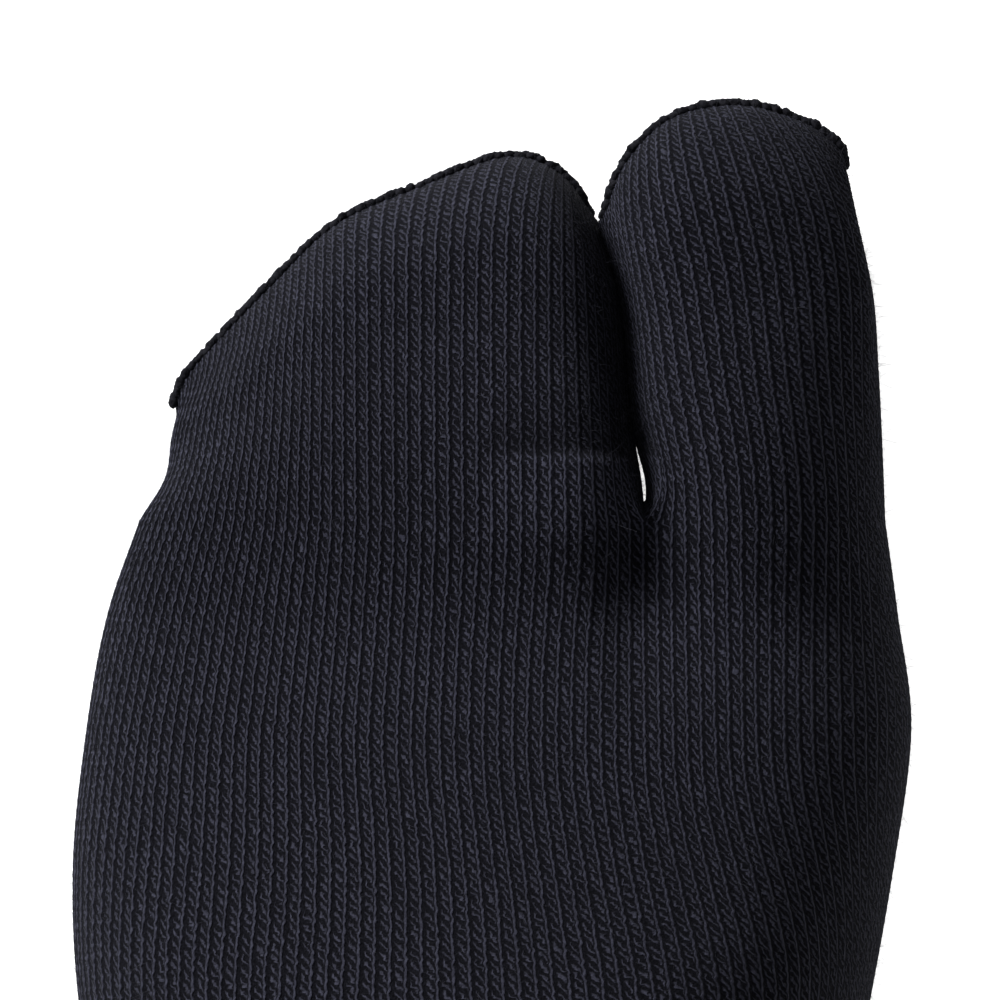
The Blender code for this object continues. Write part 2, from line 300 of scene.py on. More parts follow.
# %% Sizes of the foot and leg, in millimetres
Section = namedtuple(
    "Section",
    "front_y front_z back_y back_z left right crown outer_drop widest round_front round_back",
)
LEG_TO_CROTCH = (
    Section(40, 176, -43, 176, -38.5, 38.5, 0, 0, 0.50, 2.0, 2.0),
    Section(38, 138, -40, 138, -36.5, 36.5, 0, 0, 0.50, 2.0, 2.0),
    Section(38, 108, -39, 104, -35.0, 35.0, 0, 0, 0.50, 2.0, 2.0),
    Section(44, 94, -47, 74, -35.5, 35.5, 0, 0, 0.48, 2.0, 2.1),
    Section(51, 86, -57, 46, -34.5, 34.5, 0, 0, 0.46, 2.0, 2.1),
    Section(58, 80.5, -60, 22, -33.5, 33.5, 1, 0, 0.44, 2.0, 2.2),
    Section(62, 78, -51.5, 4.5, -33.0, 33.0, 2, 0, 0.42, 2.0, 2.3),
    Section(68, 74.5, -30, 0, -33.5, 33.5, 3, 0, 0.38, 2.0, 2.6),
    Section(76, 70, 10, 0, -37.5, 36.5, 5, 1, 0.33, 2.0, 2.8),
    Section(86, 65, 50, 1, -44.5, 41.5, 7, 2, 0.31, 2.1, 2.9),
    Section(97, 59, 84, 0.5, -49.6, 46.8, 9, 2.5, 0.32, 2.45, 2.9),
    Section(110, 51.5, 107, 0, -50.9, 50.4, 10, 3, 0.34, 2.6, 2.9),
    Section(126, 43, 126, 0, -49.3, 52.8, 12, 3.5, 0.37, 2.7, 2.8),
    Section(140, 36.0, 140, 0, -46.9, 51.3, 14, 4, 0.36, 2.75, 2.6),
    Section(151.7, 35.0, 151.7, 0.5, -42.9, 49.7, 17, 5, 0.38, 2.7, 2.4),
)
WALL = 1.8  # thickness of the knit, and the height of the origin above the ground
CROTCH_X = 19.8  # where the two pouches part
CROTCH_Y = 151.7
VALLEY_LENGTH = 26
VALLEY_WIDTH = (4.8, 8.5)  # towards the four toes, and towards the big toe
VALLEY_DEPTH = 5
VALLEY_DEPTH_BELOW = 2.5
WEB_SETBACK = 1.0

# %% [markdown]
# ## Columns of stitches
# The sock is knitted on 144 needles, so it has 144 columns of stitches all round, half of them over the top
# of the foot. Four points across each column are enough for its groove, its slanted leg and its straight
# leg. The columns are not spread evenly: over the toes the cloth is pulled flat on top and bunched at the
# sides, so each step along a ring gets a stretch, and the columns there are that much wider.

# %% Numbers of columns
FINE = 4  # points across one column of stitches
HALF = 72 * FINE
RING = 2 * HALF
SPLIT = 48 * FINE  # the column of the crotch, from the little toe's side
WEB = 14 * FINE  # columns in the wall between the two pouches
# Over the ball and the toes three columns keep these places across, in millimetres.
PINNED = ((24 * FINE, -19.8), (SPLIT, 19.8), (62 * FINE, 43.6))
PINNED_FROM = (88, 124)  # front_y between which the pins take hold
PIN_DRIFT = (126, -2.2)  # at the ball the left pin lies this much further out

# %% Curves and spacing
def ease(share):
    """0 to 1 with a level start and end."""
    share = np.clip(share, 0.0, 1.0)
    return share * share * (3 - 2 * share)


def lengths(line):
    """How far along a line of points each one is."""
    steps = np.linalg.norm(np.diff(line, axis=0), axis=1)
    return np.concatenate([[0.0], np.cumsum(steps)])


def points_at(line, far, wanted):
    """Points of a line where far, which grows along it, has the wanted values."""
    return np.column_stack([np.interp(wanted, far, axis) for axis in line.T])


def spaced(line, count, stretch=1.0):
    """count + 1 points along a line. Where stretch is larger than 1 they are wider apart."""
    steps = np.linalg.norm(np.diff(line, axis=0), axis=1) / stretch
    reached = np.concatenate([[0.0], np.cumsum(steps)])
    return points_at(line, reached, np.linspace(0, reached[-1], count + 1))


def hermite(start, leaving, end, arriving, share):
    """A smooth curve from start to end, which leaves and arrives with these slopes."""
    square, cube = share**2, share**3
    return (
        (2 * cube - 3 * square + 1) * start
        + (cube - 2 * square + share) * leaving
        + (3 * square - 2 * cube) * end
        + (cube - square) * arriving
    )


def smooth_rows(rows, steps):
    """The rows with steps - 1 more between each two, along smooth curves."""
    knots = [np.array(row, float) for row in rows]
    knots = [2 * knots[0] - knots[1], *knots, 2 * knots[-1] - knots[-2]]
    found = [knots[1]]
    for before, start, end, after in zip(knots, knots[1:], knots[2:], knots[3:]):
        for step in range(1, steps + 1):
            found.append(hermite(start, (end - before) / 2, end, (after - start) / 2, step / steps))
    return np.array(found)


def cloth_stretch(line, amount):
    """Stretch of each step of a ring: amount is added where it runs down a side, not across."""
    steps = np.diff(line, axis=0)
    level = np.abs(steps[:, 0]) / np.maximum(np.linalg.norm(steps, axis=1), 1e-9)
    return 1 + amount * (1 - level)


def pinned(line, count, pins):
    """count + 1 points along a line, of which the pinned ones have the given x. Between the last pin and
    a side the spacing changes little by little."""
    far = lengths(line)
    order = np.argsort(line[:, 0])
    at = [np.interp(x, line[order, 0], far[order]) for _, x in pins]
    knots = np.array([0, *(number for number, _ in pins), count], float)
    places = np.array([0.0, *at, far[-1]])
    pace = np.maximum(np.diff(places) / np.diff(knots), 1e-6)
    slope = np.empty(len(knots))
    slope[1:-1] = 2 / (1 / pace[1:] + 1 / pace[:-1])
    slope[0] = max(0.35 * pace[0], 2 * pace[0] - slope[1])
    slope[-1] = max(0.35 * pace[-1], 2 * pace[-1] - slope[-2])
    numbers = np.arange(count + 1)
    left = np.clip(np.searchsorted(knots, numbers, side="right") - 1, 0, len(knots) - 2)
    wide = knots[left + 1] - knots[left]
    share = (numbers - knots[left]) / wide
    start, end = places[left], places[left + 1]
    reached = hermite(start, slope[left] * wide, end, slope[left + 1] * wide, share)
    return points_at(line, far, reached)


# %% One ring of the tube
ARC_POINTS = 481  # points of a curve before the columns are spread over it


def half_section(section, front):
    """Points from the left side of a section to its right, over its front or round its back."""
    angle = np.linspace(0, math.pi, ARC_POINTS)
    middle = (section.left + section.right) / 2
    half_width = (section.right - section.left) / 2
    fullness = section.round_front if front else section.round_back
    reach = 1 - section.widest if front else -section.widest
    lean = section.crown - middle if front else 0.0
    drop = section.outer_drop if front else 0.0
    across = -np.sign(np.cos(angle)) * np.abs(np.cos(angle)) ** (2 / fullness)
    out = np.sin(angle).clip(0) ** (2 / fullness)
    share = section.widest + reach * out
    x = middle + half_width * across + lean * out * (1 - across**2)
    y = section.back_y + (section.front_y - section.back_y) * share
    z = section.back_z + (section.front_z - section.back_z) * share - drop * out * ease(-across)
    behind = (CROTCH_Y - y) / VALLEY_LENGTH
    aside = (x - CROTCH_X) / np.where(x < CROTCH_X, *VALLEY_WIDTH)
    depth = VALLEY_DEPTH if front else -VALLEY_DEPTH_BELOW
    z = z - depth * ease(1 - behind) * np.exp(-(aside**2))
    line = np.column_stack([x, y, z - WALL])
    hold = ease((section.front_y - PINNED_FROM[0]) / (PINNED_FROM[1] - PINNED_FROM[0]))
    even = spaced(line, HALF)
    if hold == 0:
        return even
    drift = PIN_DRIFT[1] * np.clip((CROTCH_Y - section.front_y) / (CROTCH_Y - PIN_DRIFT[0]), 0, 1)
    pins = [(number, x_at + (drift if x_at < 0 else 0)) for number, x_at in PINNED]
    if not front:
        pins = [pins[1]]
    return even + (pinned(line, HALF, pins) - even) * hold


def ring_of(section):
    """RING points round a section, from its left side over the front and back round the back."""
    return np.vstack([half_section(section, True), half_section(section, False)[-2:0:-1]])


RINGS_BETWEEN = 12
tube = np.array([ring_of(Section(*row)) for row in smooth_rows(LEG_TO_CROTCH, RINGS_BETWEEN)])
print("tube of", tube.shape[0], "rings of", tube.shape[1], "points")

# %% [markdown]
# ## The two pouches
# At the crotch the ring divides. Each pouch takes its own columns and half of the web, the wall that stands
# between the toes. From there the upper and the lower half run on and meet at the tip, where they are linked
# together. The plan outline of a pouch is three curves: its outer side, its inner side and the seam.

# %% Sizes of the pouches, in millimetres
Pouch = namedtuple(
    "Pouch",
    "outer inner seam seam_z crown_z crown_z_outer crown_fall sole_z tip_radius spread"
    " outer_round inner_round",
)
FOUR_TOES = Pouch(
    outer=((-42.6, 151.7), (-39.8, 156.7), (-39.2, 161.7), (-38.6, 164.6)),
    inner=((19.6, 151.7), (19.4, 156), (18.75, 161), (18.3, 165), (17.2, 178)),
    seam=((-39.3, 166.6), (-38.0, 169.8), (-34.2, 174.2), (-27.2, 181.4), (-18.8, 189.3),
          (-8.2, 194.0), (3.0, 197.8), (10.4, 195.0), (14.4, 188.6)),
    seam_z=8.5, crown_z=33.2, crown_z_outer=26.5, crown_fall=10, sole_z=0.5,
    tip_radius=11, spread=0.72, outer_round=2.6, inner_round=3.2,
)
BIG_TOE = Pouch(
    outer=((49.5, 151.7), (49.2, 160), (48.8, 170), (48.2, 179.5), (46.2, 188.8)),
    inner=((20.2, 151.7), (19.9, 156), (18.75, 161), (17.9, 165), (16.8, 178)),
    seam=((45.2, 196.0), (44.4, 198.6), (39.6, 201.9), (31.3, 204.0), (22.6, 202.1),
          (16.6, 196.0), (14.0, 188.6)),
    seam_z=14, crown_z=33, crown_z_outer=30, crown_fall=8, sole_z=0.5,
    tip_radius=13, spread=1.0, outer_round=2.7, inner_round=2.3,
)
SEAM_RADIUS = 0.75
SEAM_TAPER = 0.07  # last share of the seam, where it runs out into the gap between the toes
POUCH_BLEND = 0.6  # up to this share of a pouch, the foot's section changes into the pouch's own
POUCH_PARTING = 0.22  # and by this share the side of the gap has left the foot's line
SIDES_MEET = 0.75  # the outer sides do so by this one
BULGE_END = 0.3  # the bulge of the web is gone by this one
WEB_REACH = 16  # points beside the web that still move with it
WEB_SLOPE_END = 10  # points of the web over which the slope of the foot fades
STEEPEST = 0.55
POUCH_ROUND = 2.3
POUCH_SQUEEZE = -0.12  # columns are this much narrower down the sides of the big toe's pouch
POUCH_PINNED = ((24 * FINE, -19.8), (42 * FINE, 9.9))
EDGE_SQUEEZE = 0.5  # and this much narrower at the two ends of its seam
POUCH_RINGS = 1 - (1 - np.linspace(0, 1, 120)[1:]) ** 1.6

# %% The seam's line, and a pouch's surface
def curve_through(points, count):
    return spaced(smooth_rows(points, 16), count)


def moved_inwards(line, distance):
    """A plan line moved towards the inside of its pouch."""
    along = np.gradient(line, axis=0)
    inwards = np.column_stack([along[:, 1], -along[:, 0]])
    inwards /= np.linalg.norm(inwards, axis=1)[:, None]
    middle = len(line) // 2
    if np.sum((line.mean(axis=0) - line[middle]) * inwards[middle]) < 0:
        inwards = -inwards
    return line + inwards * np.reshape(distance, (-1, 1))


def at_share(line, share):
    """Points at these shares of an evenly spaced line."""
    return points_at(line, np.arange(len(line)), np.asarray(share) * (len(line) - 1))


def edge_lines(pouch):
    """The outer side, the inner side and the edge of the knit at the seam, in plan."""
    seam = curve_through(pouch.seam, 112)
    share = np.linspace(0, 1, len(seam))
    inset = 0.80 * SEAM_RADIUS * (1 - ease((share - 1 + SEAM_TAPER) / SEAM_TAPER))
    seam = moved_inwards(seam, inset)
    outer = curve_through((*pouch.outer, seam[0]), 64)
    inner = curve_through((*pouch.inner, seam[-1]), 64)
    return outer, inner, seam


def pouch_points(pouch, lines, across, along, out, upper):
    """Points of a pouch: across from its outer to its inner side, out from its side line to its crown."""
    outer, inner, seam = lines
    across = across[:, None]
    plan = outer[0] + (inner[0] - outer[0]) * across
    tip = at_share(seam, across[:, 0] ** pouch.spread)
    plan = plan + (tip - plan) * along
    outer_bow = at_share(outer, [along]) - (outer[0] + (outer[-1] - outer[0]) * along)
    inner_bow = at_share(inner, [along]) - (inner[0] + (inner[-1] - inner[0]) * along)
    plan = plan + outer_bow + (inner_bow - outer_bow) * across
    short = np.clip(1 - np.linalg.norm(tip - plan, axis=1) / pouch.tip_radius, 0, 1)
    closing = np.sqrt(1 - short**2)
    crown = pouch.crown_z_outer + (pouch.crown_z - pouch.crown_z_outer) * ease(across[:, 0])
    crown = crown - pouch.crown_fall * along**1.6
    reach = crown - pouch.seam_z if upper else pouch.sole_z - pouch.seam_z
    return np.column_stack([plan, pouch.seam_z + reach * out * closing - WALL])


def pouch_half(pouch, lines, along, count, upper):
    """count + 1 points over the top of a pouch or under it, from its outer to its inner side."""
    angle = np.linspace(0, math.pi, ARC_POINTS)
    fullness = np.full(len(angle), POUCH_ROUND)
    if upper:
        to_inner = ease(angle / (math.pi / 3) - 1.0)
        fullness = pouch.outer_round + (pouch.inner_round - pouch.outer_round) * to_inner
    across = np.sign(np.cos(angle)) * np.abs(np.cos(angle)) ** (2 / fullness)
    across = (1 - across) / 2
    out = np.sin(angle).clip(0) ** (2 / fullness)
    line = pouch_points(pouch, lines, across, along, out, upper)
    if upper and pouch is FOUR_TOES:
        return pinned(line, count, POUCH_PINNED)
    middle = (across[1:] + across[:-1]) / 2
    ends = 1 - ease(middle / 0.12) * ease((1 - middle) / 0.15)
    stretch = cloth_stretch(line, POUCH_SQUEEZE) * (1 - EDGE_SQUEEZE * ends * ease(along))
    even = spaced(line, count, stretch)
    if pouch is FOUR_TOES:  # the lower half meets the upper one at the seam
        return even + (pinned(line, count, POUCH_PINNED) - even) * ease(along)
    return even


# %% Rings from the crotch to the seam
crotch = tube[-1]
web_share = np.linspace(0, 1, WEB + 1)[1:-1]
web_line = crotch[SPLIT] + (crotch[RING - SPLIT] - crotch[SPLIT]) * web_share[:, None]
web_line[:, 1] += WEB_SETBACK * np.sin(math.pi * web_share)

# columns of each pouch: ring columns, then web columns numbered on from RING, then ring columns again
web_columns = RING + np.arange(1, WEB)
four_columns = np.concatenate([np.arange(SPLIT + 1), web_columns, np.arange(RING - SPLIT, RING)])
big_columns = np.concatenate(
    [np.arange(HALF, SPLIT - 1, -1), web_columns, np.arange(RING - SPLIT, HALF, -1)]
)
start_points = np.vstack([crotch, crotch[:1] * 0, web_line])  # row RING itself is never used
step_behind = tube[-1] - tube[-1 - RINGS_BETWEEN // 2]
slopes = np.clip(step_behind[:, 2] / step_behind[:, 1], -STEEPEST, STEEPEST)
web_points = np.arange(1, WEB)
web_slopes = slopes[SPLIT] * (1 - ease(web_points / WEB_SLOPE_END))
web_slopes += slopes[RING - SPLIT] * (1 - ease((WEB - web_points) / WEB_SLOPE_END))
start_slopes = np.concatenate([slopes, [0.0], web_slopes])


def pouch_rings(pouch, columns):
    """Rings of the pouch, from the crotch's own points to the seam."""
    lines = edge_lines(pouch)
    count = len(columns) // 2
    start, slope = start_points[columns], start_slopes[columns]
    rings = [start]

    def own_ring(along):
        upper, lower = (pouch_half(pouch, lines, along, count, side) for side in (True, False))
        return np.vstack([upper, lower[-2:0:-1]])

    aside = start[:, 0] - own_ring(0.0)[:, 0]
    to_split = np.minimum(np.abs(columns - SPLIT), np.abs(columns - (RING - SPLIT)))
    near_web = np.where(columns >= RING, 1.0, np.exp(-((to_split / WEB_REACH) ** 2)))
    for along in POUCH_RINGS:
        own = own_ring(along)
        part = 1 - max(0.0, 1 - along / POUCH_PARTING) ** 3
        rise = ease(along / POUCH_BLEND)
        bulge = (start[:, 1] - CROTCH_Y) * (1 - ease(along / BULGE_END))
        y = own[:, 1] + bulge
        fade = near_web * (1 - part) + (1 - near_web) * (1 - ease(along / SIDES_MEET))
        x = own[:, 0] + aside * fade
        onwards = start[:, 2] + slope * (own[:, 1] - start[:, 1])
        z = onwards + (own[:, 2] - onwards) * rise
        rings.append(np.column_stack([x, y, z]))
    return np.array(rings)


four_rings = pouch_rings(FOUR_TOES, four_columns)
big_rings = pouch_rings(BIG_TOE, big_columns)
print("pouches of", four_rings.shape[:2], "and", big_rings.shape[:2], "points")

# %% [markdown]
# ## The fold at the crotch
# Between the toes the cloth has nowhere to go. The four-toe pouch lies a little over itself there, with a
# straight edge across it, and right behind the crotch the cloth drops from that fold into a dark crease.

# %% Fold and crease, in millimetres
FOLD_EDGE_Y = 159.8
FOLD_ACROSS = (-3.0, 17.0, 19.5, 21.0)  # it grows between the first two and ends between the last two
FOLD_BACK = (145.0, 153.0)
FOLD_HIGH = 0.7
FOLD_SOFT = 1.8  # width of its edge
FOLD_HOLLOW = 0.9  # how deep the cloth dips in front of the edge
HOLLOW_LONG = 8
CREASE_DEEP = 0.6
CREASE_EDGE = ((140.0, 13.6), (143.0, 14.2), (149.5, 15.6), (153.7, 20.2))  # y and x of its steep side


def grow(value, start, end):
    """0 before start, 1 after end, and smooth between them."""
    return ease((value - start) / (end - start))


def creased(grid):
    """The points with the fold and the crease in their upper side."""
    x, y, z = grid[..., 0], grid[..., 1], grid[..., 2]
    grown = grow(x, *FOLD_ACROSS[:2]) * (1 - grow(x, *FOLD_ACROSS[2:]))
    behind = ease((FOLD_EDGE_Y - y) / FOLD_SOFT + 0.5)
    back = grow(y, *FOLD_BACK)
    hollow = (1 - behind) * ease(1 - (y - FOLD_EDGE_Y) / HOLLOW_LONG)
    fold = grown * (FOLD_HIGH * behind * back - FOLD_HOLLOW * hollow)
    edge_y, edge_x = np.array(CREASE_EDGE).T
    beside = x - np.interp(y, edge_y, edge_x)
    crease = grow(beside, -1.4, 1.4) * (1 - grow(beside, 1.5, 9.5))
    crease = crease * grow(y, 138, 147) * (1 - grow(y, 150, 156))
    top = grow(z, 12, 24)
    moved = grid.copy()
    moved[..., 2] = z + (fold - CREASE_DEEP * crease) * top
    return moved


print("fold edge at", FOLD_EDGE_Y, "crease", CREASE_DEEP, "deep")

# %% [markdown]
# ## Courses
# The rings above follow the shape, not the knitting. A course of stitches is counted along each column,
# starting at the crotch: a little more than 1.1 mm to a stitch over the toes, where the knit is denser, and
# 1.33 mm behind them. Two rows of points to a course let the yarn rise and fall within each stitch.

# %% Count the courses along each column
def course_length(place):
    """Length of one course, in millimetres, at a place along a column, 0 at the crotch."""
    return 1.33 - 0.20 * ease((place + 12) / 40)


class Column:
    """One column of stitches: a line of points, and the number of courses from the crotch at each."""

    def __init__(self, behind, ahead):
        self.line = np.vstack([behind, ahead[1:]])
        self.far = lengths(self.line) - lengths(behind)[-1]
        steps = np.diff(self.far) / course_length((self.far[1:] + self.far[:-1]) / 2)
        count = np.concatenate([[0.0], np.cumsum(steps)])
        self.courses = count - np.interp(0.0, self.far, count)

    def points(self, courses):
        return points_at(self.line, self.far, np.interp(courses, self.courses, self.far))


def pouch_columns(rings, columns):
    """The columns of a pouch, each with the part of it that lies behind the crotch."""
    found = []
    for index, column in enumerate(columns):
        behind = tube[:, column] if column < RING else rings[:1, index]
        found.append(Column(behind, rings[:, index]))
    return found


four_lines = pouch_columns(four_rings, four_columns)
big_lines = pouch_columns(big_rings, big_columns)
by_ring = dict(zip(big_columns, big_lines)) | dict(zip(four_columns, four_lines))
ring_lines = [by_ring[column] for column in range(RING)]
print("courses to the tips:", round(max(c.courses[-1] for c in four_lines), 1), "and",
      round(max(c.courses[-1] for c in big_lines), 1))

# %% [markdown]
# ## Stitches in the surface
# A stitch nearly 2 mm wide shows its depth in the real cloth: light catches the legs of yarn and the gaps
# stay dark. Points are moved along the surface's normal by a small table: the groove between two columns lies
# deepest, the slanted leg rises and falls with each half course, and the straight leg stays high.

# %% Relief of one stitch, for its four points across
RELIEF = 0.25  # millimetres
SINK = 0.12  # and the whole relief lies this much lower, so that it keeps within the cloth
CREST = (-0.5, 0.35, 0.30, 0.55)
DIP = (-0.5, -0.35, -0.30, 0.42)
SHEAR = (0.0, 0.21, -0.23, 0.0)  # courses by which the row of points is moved, to follow the slanted leg


def plain_ribs(phase):
    """The simpler relief, one rib to a column."""
    return np.where(phase == 2, 0.40, -0.40)


def grid_normals(grid):
    """Unit normals of a grid of points whose rows run forwards and whose columns run round."""
    round_it = np.roll(grid, -1, axis=1) - np.roll(grid, 1, axis=1)
    normal = np.cross(round_it, np.gradient(grid, axis=0))
    return normal / np.maximum(np.linalg.norm(normal, axis=2, keepdims=True), 1e-9)


def stitch_rows(lines, columns, rows, plain):
    """Points and courses of a grid: rows of half courses down each of these columns of knit.
    plain says which columns lie underneath, where the relief is ribs only."""
    phase = np.where(columns < RING, columns, columns - RING + SPLIT) % FINE
    points, courses = [], []
    for line, kind, simple, column in zip(lines, phase, plain, columns):
        wanted = rows / 2 + (0.0 if simple else SHEAR[kind])
        if column >= RING:
            wanted = np.where(rows == 0, 0.0, np.maximum(wanted, 0.0))
        wanted = np.clip(wanted, line.courses[0], line.courses[-1])
        points.append(line.points(wanted))
        courses.append(wanted)
    return np.array(points).transpose(1, 0, 2), np.array(courses).T, phase


def relief_of(courses, rows, columns, phase, plain, ends):
    """Height of the yarn above or below the surface, in millimetres."""
    crest = (rows % 2 == 0)[:, None]
    height = np.where(crest, np.array(CREST)[phase], np.array(DIP)[phase])
    height = np.where(plain, plain_ribs(phase), height)
    near_tip = ease((ends - courses) / 1.5)
    to_split = np.minimum(np.abs(columns - SPLIT), np.abs(columns - (RING - SPLIT)))
    to_split = np.where(columns >= RING, 0, to_split)
    web_fade = 1 - np.clip(1 - to_split / 6, 0, 1) * np.clip(1 - np.abs(courses) / 2, 0, 1)
    return (height * RELIEF - SINK) * near_tip * web_fade


# %% Rows of points for the front of the foot
BACK_COURSES = 53  # the front piece starts this many courses behind the crotch
tube_rows = np.arange(-2 * BACK_COURSES, 1)
four_rows = np.arange(0, 2 * math.ceil(max(c.courses[-1] for c in four_lines)) + 1)
big_rows = np.arange(0, 2 * math.ceil(max(c.courses[-1] for c in big_lines)) + 1)


def chosen(count):
    """Columns that get points: every one over the top, and every second one underneath."""
    return np.concatenate([np.arange(count // 2 + 1), np.arange(count // 2 + 2, count, 2)])


def relieved(lines, columns, rows, row_zero=None):
    """A grid of points with their relief, and their courses and numbers of columns."""
    half = len(columns) // 2
    plain = np.arange(len(columns)) > half
    grid, courses, phase = stitch_rows(lines, columns, rows, plain)
    grid = creased(grid)
    normal = grid_normals(grid)
    if columns[0] > columns[1]:
        normal = -normal
    if row_zero is not None:
        known = columns < RING
        normal[0, known] = row_zero[columns[known]]
    ends = np.array([line.courses[-1] for line in lines])
    height = relief_of(courses, rows, columns, phase, plain, ends)
    return grid + normal * height[:, :, None], courses, normal


whole_rows = np.arange(-2 * BACK_COURSES, 3)
ring_numbers = np.arange(RING)
tube_grid, tube_courses, tube_normals = relieved(ring_lines, ring_numbers, whole_rows)
row_zero = tube_normals[-3]
tube_grid, tube_courses = tube_grid[:-2], tube_courses[:-2]
four_grid, four_courses, four_normals = relieved(four_lines, four_columns, four_rows, row_zero)
big_grid, big_courses, big_normals = relieved(big_lines, big_columns, big_rows, row_zero)
print("grids", tube_grid.shape, four_grid.shape, big_grid.shape)

# %% [markdown]
# ## From grids to a mesh
# Each grid becomes faces. The pouches share the crotch's points with the tube and the web's points with each
# other. A column that ends early at the slanting seam repeats its last point, and merging by distance takes
# those out and closes the upper half to the lower one.

# %% Mesh helpers
def new_piece(name, points, faces, material):
    """An object from points in millimetres."""
    mesh = bpy.data.meshes.new(name)
    mesh.from_pydata((np.asarray(points) * MM).tolist(), [], faces)
    mesh.materials.append(material)
    made = bpy.data.objects.new(name, mesh)
    bpy.context.scene.collection.objects.link(made)
    return made


def knit_piece(name, points, faces, uv, material, close_seams=False):
    """The same with its stitch coordinates. Points that lie on each other are merged, and the slivers along
    a seam are closed."""
    made = new_piece(name, points, faces.tolist(), material)
    layer = made.data.uv_layers.new(name="knit")
    layer.data.foreach_set("uv", uv.astype(np.float32).ravel())
    bm = bmesh.new()
    bm.from_mesh(made.data)
    bmesh.ops.remove_doubles(bm, verts=bm.verts, dist=2e-6)
    bmesh.ops.dissolve_degenerate(bm, edges=bm.edges, dist=1e-6)
    if close_seams:
        open_edges = [edge for edge in bm.edges if edge.is_boundary]
        bmesh.ops.holes_fill(bm, edges=open_edges, sides=3)
    loose = [vert for vert in bm.verts if not vert.link_faces]
    bmesh.ops.delete(bm, geom=loose, context="VERTS")
    bm.to_mesh(made.data)
    bm.free()
    made.data.shade_smooth()
    print(name, "has", len(made.data.polygons), "faces")
    return made


# %% Faces of a grid
def corners(grid):
    """The values at the four corners of each face of a grid that is closed round."""
    ahead = np.roll(grid, -1, axis=1)
    return np.stack([grid[:-1], ahead[:-1], ahead[1:], grid[1:]], axis=2)


def grid_faces(numbers, courses, counts, backwards=False):
    """Faces and stitch coordinates. numbers are the points', and counts the columns of stitches at each
    point across, with one more at the end to close it."""
    left, right = (np.broadcast_to(side, numbers[1:].shape) for side in (counts[:-1], counts[1:]))
    across = np.stack([left, right, right, left], axis=2)
    faces = corners(numbers).reshape(-1, 4)
    uv = np.stack([across, corners(courses)], axis=3).reshape(-1, 4, 2)
    return (faces[:, ::-1], uv[:, ::-1]) if backwards else (faces, uv)


class Joined:
    """Grids that become one mesh. The first is the tube, and the pouches go on from its last row."""

    def __init__(self):
        self.points, self.faces, self.uvs, self.known = [], [], [], {}

    def add(self, grid, courses, columns, counts, backwards=False):
        numbers = np.zeros(grid.shape[:2], int)
        for at, column in enumerate(columns.tolist()):
            if column not in self.known:
                self.known[column] = len(self.points)
                self.points.append(grid[0, at])
            numbers[0, at] = self.known[column]
        rest = numbers[1:]
        numbers[1:] = len(self.points) + np.arange(rest.size).reshape(rest.shape)
        self.points.extend(grid[1:].reshape(-1, 3))
        if not self.faces:
            self.known.update(zip(columns.tolist(), numbers[-1].tolist()))
        faces, uv = grid_faces(numbers, courses, counts, backwards)
        self.faces.append(faces)
        self.uvs.append(uv)


# %% The front of the foot
def column_counts(columns, picked):
    """Columns of stitches at each picked point across a grid, one more at the end to close it."""
    step = 1 if columns[1] > columns[0] else -1
    first = columns[0] / FINE + 0.05
    across = np.concatenate([picked, [len(columns)]])
    return first + step * across / FINE


front = Joined()
for grid, courses, columns in (
    (tube_grid, tube_courses, ring_numbers),
    (four_grid, four_courses, four_columns),
    (big_grid, big_courses, big_columns),
):
    picked = chosen(len(columns))
    counts = column_counts(columns, picked)
    front.add(grid[:, picked], courses[:, picked], columns[picked], counts, columns is big_columns)
toe_half = knit_piece(
    "toe_half", front.points, np.concatenate(front.faces), np.concatenate(front.uvs), navy_knit, True
)

# %% [markdown]
# ## Heel, instep and leg
# The rest of the sock goes on from there in the same columns. Its stitches are the same size, but here a
# ridge for each column is enough shape, and the material draws the stitches. On the leg they are counted
# down from the cuff. A turned heel joins the two along a slanting line, where the courses meet.

# %% Foot and leg
GORE = 5 * RINGS_BETWEEN  # the ring from the bend of the instep round the heel
LEG_COURSE = 1.38  # length of a course over the ankle and in the rib, in millimetres
OVERLAP = 0.6  # courses by which the foot runs on under the front piece
TUCK = 0.35  # how far its last row dips there
PLAIN_ROWS = 96
ribs_picked = np.arange(0, RING, 2)


def plain_piece(name, start_of, end_of, count_of, tuck=0.0):
    """A stretch of the tube between two places on every column, in ribs."""
    share = np.linspace(0, 1, PLAIN_ROWS)
    grid, courses = [], []
    for column in ribs_picked:
        line = ring_lines[column]
        place = start_of(line) + (end_of(line) - start_of(line)) * share
        grid.append(points_at(line.line, line.far, place))
        courses.append(count_of(line, place))
    grid, courses = np.array(grid).transpose(1, 0, 2), np.array(courses).T
    height = np.tile(plain_ribs(ribs_picked % FINE) * RELIEF - SINK, (PLAIN_ROWS, 1))
    height[-1] -= tuck
    grid = grid + grid_normals(grid) * height[:, :, None]
    numbers = np.arange(height.size).reshape(height.shape)
    counts = np.concatenate([ribs_picked, [RING]]) / FINE + 0.05
    return knit_piece(name, grid.reshape(-1, 3), *grid_faces(numbers, courses, counts), navy_knit)


def top_place(line):
    return line.far[0]


def gore_place(line):
    return line.far[GORE]


def front_place(line):
    return np.interp(-BACK_COURSES + OVERLAP, line.courses, line.far)


def courses_ahead(line, place):
    return np.interp(place, line.far, line.courses)


def courses_down(line, place):
    return (place - line.far[0]) / LEG_COURSE


foot = plain_piece("foot", gore_place, front_place, courses_ahead, TUCK)
leg = plain_piece("leg", top_place, gore_place, courses_down)

# %% [markdown]
# ## The ribbed cuff
# The rib has an outer face, a rounded top edge and an inner face a little over 2 mm further in. It is made as
# one closed ring, so that the top edge can be seen from above and the cuff can be measured as cloth of one
# thickness. Every second column of stitches stands forward.

